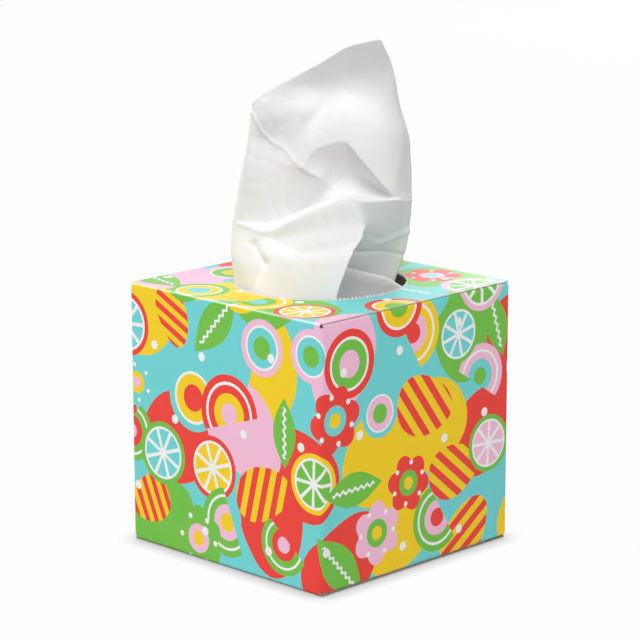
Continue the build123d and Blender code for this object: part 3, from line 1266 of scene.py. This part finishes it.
@dataclass
class PulledTissue:
    """The sheet that stands in the opening: a front with its pleat, dent and lobe, a left fold and a back.

    Each front row runs from the left fold to the right-hand edge, as across, toward and up.
    """

    thickness: float = 0.22
    flat: Point = (165.0, 118.0)
    row_steps: int = 14
    column_steps: int = 15
    foot_height: float = 110.0
    stand: float = 100.0
    wrinkles: Wrinkles = Wrinkles(broad=0.4, broad_size=17, fine=0.2, fine_size=9)
    wrinkle_height: float = 106.0
    wrinkle_rise: float = 20.0

    pleat_crease: float = 0.9
    tuck_crease: float = 0.5
    dent_crease: float = 0.8
    lobe_tip_crease: float = 0.7
    left_fold_crease: float = 0.35
    valley_crease: float = 0.85
    ridge_crease: float = 0.3
    overhang_crease: float = 0.9

    back_columns: int = 5
    back_depth: float = 17.0
    back_taper: float = 4.0
    back_start: float = 0.12
    back_round: float = 0.7
    back_fold: float = 1.6
    back_fold_turns: float = 2.6
    back_fold_shift: float = 0.5
    back_inset: float = 1.5
    back_gap: float = 2.5
    back_fall: float = 0.23

    seat: tuple[Place, ...] = (
        (-37, 2, 99), (-34, 15, 99), (-25, 27, 99), (-13, 34, 99), (-3, 36, 99),
        (8, 36, 99), (-4, 15, 99), (13, 2, 99), (30, -5, 99),
    )
    rim: tuple[Place, ...] = (
        (-35, 2, 110), (-31.2, 14.5, 110), (-24, 25, 110), (-13, 32, 110), (-3, 33.8, 110),
        (6.6, 33.2, 110), (-2, 15, 110), (14, 3, 110), (31, -3, 110),
    )
    low: tuple[Place, ...] = (
        (-36, 3, 123), (-32, 14, 121), (-24.5, 20.5, 122.5), (-16, 28.5, 124), (-2, 31, 125),
        (12, 30, 125), (4, 14, 121), (21, 4, 121), (34.5, -3, 120),
    )
    pleat_top: tuple[Place, ...] = (
        (-35.5, 4, 132.7), (-29.5, 13, 132), (-23.5, 18.5, 131), (-14.5, 24.5, 132.8), (1, 27, 136.3),
        (18, 24, 137.5), (20, 13, 132), (27.5, 5, 128.5), (36.3, -2, 130),
    )
    ridge: tuple[Place, ...] = (
        (-35.2, 5, 136), (-28, 14, 135.6), (-20.5, 20, 135.4), (-12, 24.5, 140.7), (0, 26, 146.2),
        (10, 25.5, 149.2), (19.5, 22, 147.4), (29.5, 15, 145.6), (37.2, 1, 141.5),
    )
    valley: tuple[Place, ...] = (
        (-34.8, 6, 138.4), (-27.5, 12, 137.7), (-19.5, 15, 137.4), (-9, 13.5, 141.7), (0, 13, 145.5),
        (8.5, 14, 149), (19.5, 13, 148.6), (30, 14, 146.4), (37.3, 1, 145),
    )
    hollow: tuple[Place, ...] = (
        (-33, 8.5, 149.5), (-26, 13, 149.8), (-17.5, 16, 150.3), (-1, 18, 155.7), (4.5, 13, 156.5),
        (11.5, 11.5, 157.5), (20, 11.5, 153.5), (30, 13, 147.4), (37.2, 0, 149.5),
    )
    overhang: tuple[Place, ...] = (
        (-31, 10.5, 160.3), (-25.5, 13.5, 161.2), (-17.5, 16, 161.8), (-7, 20, 161), (-1, 21, 168.6),
        (10.5, 21, 171.4), (19.5, 19.5, 160), (29.5, 14, 149), (37, 0, 157.8),
    )
    lobe: tuple[Place, ...] = (
        (-29, 12, 169.9), (-25, 12.8, 170.4), (-18.5, 15, 171.4), (-9.5, 18.3, 171.5), (-2, 19.5, 175.5),
        (10, 19, 181.2), (23.5, 16.5, 174.8), (32, 9.5, 169.5), (35.9, 0, 170.5),
    )
    arc: tuple[Place, ...] = (
        (-27.6, 12, 179.3), (-24.8, 14.3, 179.5), (-17.5, 17.2, 180.5), (-6.5, 19.2, 182.5),
        (1.5, 14.5, 185.5), (10, 12.5, 190.5), (22.5, 11, 188.5), (29.8, 6.5, 183.8), (32.4, 1.5, 182.8),
    )
    upper: tuple[Place, ...] = (
        (-27.2, 12, 182), (-24.6, 14.6, 184), (-19, 16.8, 186.4), (-9.5, 17, 189.6), (0.5, 13.5, 194),
        (10.5, 12.5, 199.8), (19.5, 12.3, 200.5), (26, 10.5, 199.7), (29.2, 8.5, 199.3),
    )
    top_edge: tuple[Place, ...] = (
        (-27, 13, 184.7), (-23.8, 14.5, 188.8), (-18.5, 16.5, 192.4), (-12, 18, 195.9), (0, 19.5, 202.4),
        (10.5, 21, 208.8), (18, 21.5, 211.2), (22.3, 21.5, 212.2), (24.3, 20, 211.6),
    )

    creases: tuple[Crease, ...] = (
        Crease(0.5, 1.3, (
            (-27, 178.6), (-23.4, 171.3), (-19, 166.9), (-13.9, 163.9), (-10.3, 158.8), (-5.9, 155.1),
            (-0.1, 152.2), (3.5, 149.2), (6.5, 147.4),
        )),
        Crease(-1.2, 3.2, ((-26.6, 124.7), (-24.8, 120.6), (-22.6, 117))),
        Crease(-0.7, 3.6, ((-22.6, 117), (-25.2, 112), (-27.7, 106))),
        Crease(-0.8, 5.0, ((-21.2, 128), (-8.1, 121.3), (2, 122.5), (13, 125))),
        Crease(-0.9, 1.5, ((13.4, 121.7), (24.6, 122.4), (35.5, 121))),
        Crease(0.9, 1.6, ((23.9, 125.8), (30, 128.2), (36.3, 130.9))),
        Crease(-0.8, 1.6, ((17.4, 129.4), (24.6, 127.2))),
    )

    def back_of(self, row: Sequence[Place], number: int, height: float) -> list[Place]:
        """The back layer's places of one row, from the left fold to the right-hand edge.

        Args:
            row: The row's front places.
            number: The row's number, which shifts the back's soft folds.
            height: How far up the sheet the row is, from 0 to 1.

        Returns:
            The places.
        """
        left, right = row[0], row[-1]
        depth = self.back_depth - self.back_taper * height
        found = []
        for column in range(1, self.back_columns + 1):
            share = column / self.back_columns
            swell = math.sin(math.pi * min(share + self.back_start, 1.0)) ** self.back_round
            wave = self.back_fold_turns * math.pi * share + self.back_fold_shift * number
            fold = self.back_fold * math.sin(wave)
            across = left[0] + (right[0] - self.back_inset - left[0]) * share
            lean = max(0.0, right[1] - left[1]) * share**2
            flat = min(left[1], right[1]) * (1 - swell) + lean
            toward = flat - depth * swell + fold * swell - self.back_gap * share
            behind = toward - left[1] * (1 - share) - right[1] * share
            up = left[2] + (right[2] - left[2]) * share + self.back_fall * behind
            found.append((across, toward, up))
        return found

    def creased_net(self) -> CreasedNet:
        """The net of all rows, right-hand front edge first, with its creases."""
        rows = [
            self.seat, self.rim, self.low, self.pleat_top, self.ridge, self.valley,
            self.hollow, self.overhang, self.lobe, self.arc, self.upper, self.top_edge,
        ]
        places = []
        for number, row in enumerate(rows):
            height = max(0.0, (row[len(row) // 2][2] - self.foot_height) / self.stand)
            places.append([*reversed(row), *self.back_of(row, number, height)])
        net = np.array(places, float)
        ridge, valley, overhang, upper = (
            rows.index(row) for row in (self.ridge, self.valley, self.overhang, self.upper)
        )
        pleat, dent, fold = 3, 5, 8  # columns, from the right-hand edge
        row_crease, column_crease = np.zeros(net.shape[:2]), np.zeros(net.shape[:2])
        column_crease[:ridge, pleat] = self.pleat_crease
        column_crease[:ridge, pleat - 1] = self.tuck_crease
        column_crease[valley:upper, dent] = self.dent_crease
        column_crease[overhang, pleat] = self.lobe_tip_crease
        column_crease[:, fold] = self.left_fold_crease
        row_crease[valley, 1 : fold - 1] = self.valley_crease
        row_crease[ridge, 1 : fold - 1] = self.ridge_crease
        row_crease[overhang, 1 : dent + 1] = self.overhang_crease
        return CreasedNet(net, row_crease, column_crease, self.row_steps, self.column_steps)

    def build(self) -> bpy.types.Object:
        """Makes the pulled sheet.

        Returns:
            The sheet's object.
        """
        drawn = self.creased_net().surface()
        seen = drawn[..., 2] - SIGHT_FALL * drawn[..., 1]
        push = sum(crease.push(drawn[..., 0], seen) for crease in self.creases)
        push[:, (len(self.rim) - 1) * self.column_steps :] = 0
        surface = to_frame(drawn + grid_normals(drawn) * push[..., None])
        share = np.clip((surface[..., 2] - self.wrinkle_height) / self.wrinkle_rise, 0, 1)
        surface = self.wrinkles.pushed(surface, share)
        return sheet_from("pulled_sheet", surface, "pulled_tissue", self.thickness)


@dataclass
class NextTissue:
    """The crest of the following sheet, which shows in the opening beside the pleat.

    Each row runs from the back foot over the crest to the front foot, as across, toward and up.
    """

    thickness: float = 0.22
    flat: Point = (31.0, 37.0)
    steps: int = 10
    wrinkles: Wrinkles = Wrinkles(broad=0.35, broad_size=9, fine=0.2, fine_size=6)

    hidden: tuple[Place, ...] = (
        (4, 12, 99), (5, 14, 109), (6, 16.8, 117.5), (6.5, 18.5, 119.5), (6.8, 18.6, 117), (6.6, 16.5, 109),
        (6, 14, 99),
    )
    beside_pleat: tuple[Place, ...] = (
        (10, 7.5, 99), (10.5, 9.5, 109), (11.5, 14, 116.8), (12, 16, 118.8), (12.5, 16.2, 116.5),
        (12.6, 14, 109), (12.4, 10.5, 99),
    )
    middle: tuple[Place, ...] = (
        (17, 4.5, 99), (17.5, 6, 108), (18.5, 10.2, 114.3), (19, 12.3, 116.2), (19.6, 12.5, 114),
        (20, 10.5, 108), (20, 7, 99),
    )
    falling: tuple[Place, ...] = (
        (25, 1, 99), (25.5, 3, 107), (26, 6.4, 111.8), (26.7, 8.3, 113.6), (27.3, 8.5, 111.8),
        (27.5, 7, 107), (27.3, 3.8, 99),
    )
    end: tuple[Place, ...] = (
        (30.5, -1.5, 99), (31.5, 0.3, 104), (32.9, 3.2, 107.6), (33.8, 5, 108.5), (34, 5.5, 107.4),
        (33.8, 4.8, 104), (32.8, 2.2, 99),
    )

    def build(self) -> bpy.types.Object:
        """Makes the waiting sheet's crest.

        Returns:
            The sheet's object.
        """
        net = np.array([self.hidden, self.beside_pleat, self.middle, self.falling, self.end], float)
        smooth = np.zeros(net.shape[:2])
        surface = to_frame(CreasedNet(net, smooth, smooth, self.steps, self.steps).surface())
        surface = self.wrinkles.pushed(surface, np.ones(surface.shape[:2]))
        return sheet_from("waiting_sheet", surface, "next_tissue", self.thickness)


@dataclass
class TissueClip:
    """The clip of folded tissues, bent over once, as bands of leaves round its slit."""

    leaf: float = 2.6
    gap: float = 0.12
    shoulder: float = 12.0
    least_radius: float = 0.2
    uneven: float = 0.5
    corner_steps: int = 8
    seed: int = 4

    def arch(self, half: float, top: float, foot: float, radius: float) -> Outline:
        """Outline of one band's outer side, from the right foot over the top to the left foot."""
        turns = [math.pi / 2 * step / self.corner_steps for step in range(self.corner_steps + 1)]
        right = [(half - radius + radius * math.cos(t), top - radius + radius * math.sin(t)) for t in turns]
        return [(half, foot), *right, *[(-x, z) for x, z in reversed(right)], (-half, foot)]

    def build(self) -> bpy.types.Object:
        """Makes the clip inside the box of its CAD solid.

        Returns:
            The clip's object.
        """
        low, high = (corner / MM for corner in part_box("tissue_stack"))
        draw = random.Random(self.seed)
        places: list[Vector] = []
        faces: list[list[int]] = []
        bands = int(high.x / self.leaf)
        for band in range(bands):
            half, top = high.x - band * self.leaf, high.z - band * self.leaf
            radius = min(self.shoulder, half - self.leaf)
            inner_half, inner_top = half - self.leaf + self.gap, top - self.leaf + self.gap
            inner_radius = max(radius - self.leaf + self.gap, self.least_radius)
            outer = self.arch(half, top, low.z, radius)
            inner = self.arch(inner_half, inner_top, low.z, inner_radius)
            section = outer + inner[::-1]
            ends = [low.y + draw.uniform(0, self.uneven), high.y - draw.uniform(0, self.uneven)]
            start, count, sides = len(places), len(section), len(outer)
            for end in ends:
                places += [Vector((x, end, z)) for x, z in section]
            for n in range(count):
                after = (n + 1) % count
                faces.append([start + n, start + count + n, start + count + after, start + after])
            for n in range(sides - 1):
                inside = [count - 1 - n, count - 2 - n]
                faces.append([start + n, start + n + 1, start + inside[1], start + inside[0]])
                faces.append([start + count + k for k in (inside[0], inside[1], n + 1, n)])
        clip = piece_from("folded_clip", places, faces)
        clip.data.materials.append(LEAVES.material())
        clip.data.shade_smooth()
        clip.data.set_sharp_from_angle(angle=SHARP)
        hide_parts("tissue_stack")
        return clip


@dataclass(frozen=True)
class Lamp:
    """One soft studio lamp, with its place and size in metres and its power in watts."""

    name: str
    place: Place
    size: float
    power: float


@dataclass
class Studio:
    """Floor, world, lamps and camera, in metres but for the reach of the painted contact shadow."""

    floor_size: float = 8.0
    floor_glow: float = 0.96
    floor_shade: float = 0.6
    # reach in millimetres and darkest level of the painted contact shadow in the floor's glow
    painted_contact_reach: float = 9.0
    painted_contact_shade: float = 0.25
    world_level: float = 0.14
    camera_place: Place = (0.7618, -0.7728, 0.3454)
    aim_height: float = 0.0937
    camera_roll: float = -0.072
    lens: float = 152.26
    sensor: float = 36.0
    lamps: tuple[Lamp, ...] = (
        Lamp("key", (0.62, -0.76, 1.85), 0.9, 25.0),
        Lamp("left_fill", (-1.7, -1.1, 0.8), 1.2, 20.0),
        Lamp("right_fill", (1.85, 0.3, 0.8), 1.0, 2.5),
        Lamp("back_glow", (-0.95, 1.85, 0.62), 0.9, 13.0),
        Lamp("front_fill", (1.5, -0.7, 0.9), 1.0, 7.5),
        Lamp("fold_light", (-1.35, -0.45, 1.35), 0.45, 3.0),
    )

    @staticmethod
    def seen(tree: bpy.types.NodeTree) -> bpy.types.Node:
        """Adds nodes that give 1 to rays from the camera, in gloss or through glass.

        Args:
            tree: The node tree to add to.

        Returns:
            The node whose Value is that.
        """
        path = tree.nodes.new("ShaderNodeLightPath")
        either, any_of = tree.nodes.new("ShaderNodeMath"), tree.nodes.new("ShaderNodeMath")
        either.operation = any_of.operation = "MAXIMUM"
        join(
            tree,
            (path, "Is Camera Ray", either, 0),
            (path, "Is Glossy Ray", either, 1),
            (either, "Value", any_of, 0),
            (path, "Is Transmission Ray", any_of, 1),
        )
        return any_of

    def floor(self) -> None:
        """Makes the pale floor, which shows white with a painted contact shadow, ambient occlusion darkening
        its glow, and keeps a faint real shadow.
        """
        half = self.floor_size / 2
        corners = [(-half, -half, 0), (half, -half, 0), (half, half, 0), (-half, half, 0)]
        mesh = bpy.data.meshes.new("floor")
        mesh.from_pydata(corners, [], [[0, 1, 2, 3]])
        floor = bpy.data.objects.new("floor", mesh)
        bpy.context.scene.collection.objects.link(floor)
        finish = bpy.data.materials.new("pale_floor")
        finish.use_nodes = True
        tree = finish.node_tree
        pale, surface = tree.nodes["Principled BSDF"], tree.nodes["Material Output"]
        pale.inputs["Base Color"].default_value = (*[self.floor_shade] * 3, 1)
        pale.inputs["Roughness"].default_value = 1.0
        glow = tree.nodes.new("ShaderNodeEmission")
        # painted contact shadow: ambient occlusion darkens the floor's glow near the box
        painted_contact = tree.nodes.new("ShaderNodeAmbientOcclusion")
        painted_contact.inputs["Distance"].default_value = self.painted_contact_reach * MM
        level = tree.nodes.new("ShaderNodeMapRange")
        level.inputs["To Min"].default_value = self.painted_contact_shade
        share = tree.nodes.new("ShaderNodeMath")
        share.operation = "MULTIPLY"
        share.inputs[1].default_value = self.floor_glow
        blend = tree.nodes.new("ShaderNodeMixShader")
        join(
            tree,
            (painted_contact, "AO", level, "Value"),
            (level, "Result", glow, "Strength"),
            (self.seen(tree), "Value", share, 0),
            (share, "Value", blend, "Fac"),
            (pale, "BSDF", blend, 1),
            (glow, "Emission", blend, 2),
            (blend, "Shader", surface, "Surface"),
        )
        mesh.materials.append(finish)

    def world(self) -> None:
        """Makes the world: white where it is seen, plain soft light elsewhere."""
        world = bpy.data.worlds.new("studio")
        world.use_nodes = True
        tree = world.node_tree
        sky = tree.nodes["Background"]
        sky.inputs["Color"].default_value = (1, 1, 1, 1)
        level = tree.nodes.new("ShaderNodeMapRange")
        level.inputs["To Min"].default_value = self.world_level
        level.inputs["To Max"].default_value = 1.0
        join(tree, (self.seen(tree), "Value", level, "Value"), (level, "Result", sky, "Strength"))
        bpy.context.scene.world = world

    def aim_from(self, place: Place) -> Matrix:
        """The turn of a lamp or camera at a place that looks at the part's middle."""
        aim = Vector((0, 0, self.aim_height)) - Vector(place)
        return aim.to_track_quat("-Z", "Y").to_matrix().to_4x4()

    def light(self) -> None:
        """Sets the lamps, each aimed at the part's middle."""
        for lamp in self.lamps:
            data = bpy.data.lights.new(lamp.name, "AREA")
            data.shape = "DISK"
            data.size = lamp.size
            data.energy = lamp.power
            made = bpy.data.objects.new(lamp.name, data)
            made.matrix_world = Matrix.Translation(lamp.place) @ self.aim_from(lamp.place)
            bpy.context.scene.collection.objects.link(made)

    def camera(self) -> None:
        """Sets the camera at the photograph's viewing angle."""
        data = bpy.data.cameras.new("view")
        data.lens = self.lens
        data.sensor_width = self.sensor
        made = bpy.data.objects.new("view", data)
        roll = Matrix.Rotation(math.radians(self.camera_roll), 4, "Z")
        made.matrix_world = Matrix.Translation(self.camera_place) @ self.aim_from(self.camera_place) @ roll
        bpy.context.scene.collection.objects.link(made)
        bpy.context.scene.camera = made

    def build(self) -> None:
        """Sets up the whole studio."""
        self.floor()
        self.world()
        self.light()
        self.camera()
        bpy.context.scene.view_settings.view_transform = "Standard"


def main() -> None:
    """Builds the tissue box piece by piece, then the studio, and notes the sizes."""
    logging.basicConfig(level=logging.INFO, format="%(name)s: %(message)s")
    low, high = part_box("carton")
    carton = Carton(side=round((high.x - low.x) / MM, 2))
    pieces = [
        carton.build(PrintDesign(carton.side)),
        PerforatedRim(carton).build(),
        PulledTissue().build(),
        NextTissue().build(),
        TissueClip().build(),
    ]
    for piece in pieces:
        log.info("%s has %d faces", piece.name, len(piece.data.polygons))
    Studio().build()


if __name__ == "__main__":
    main()
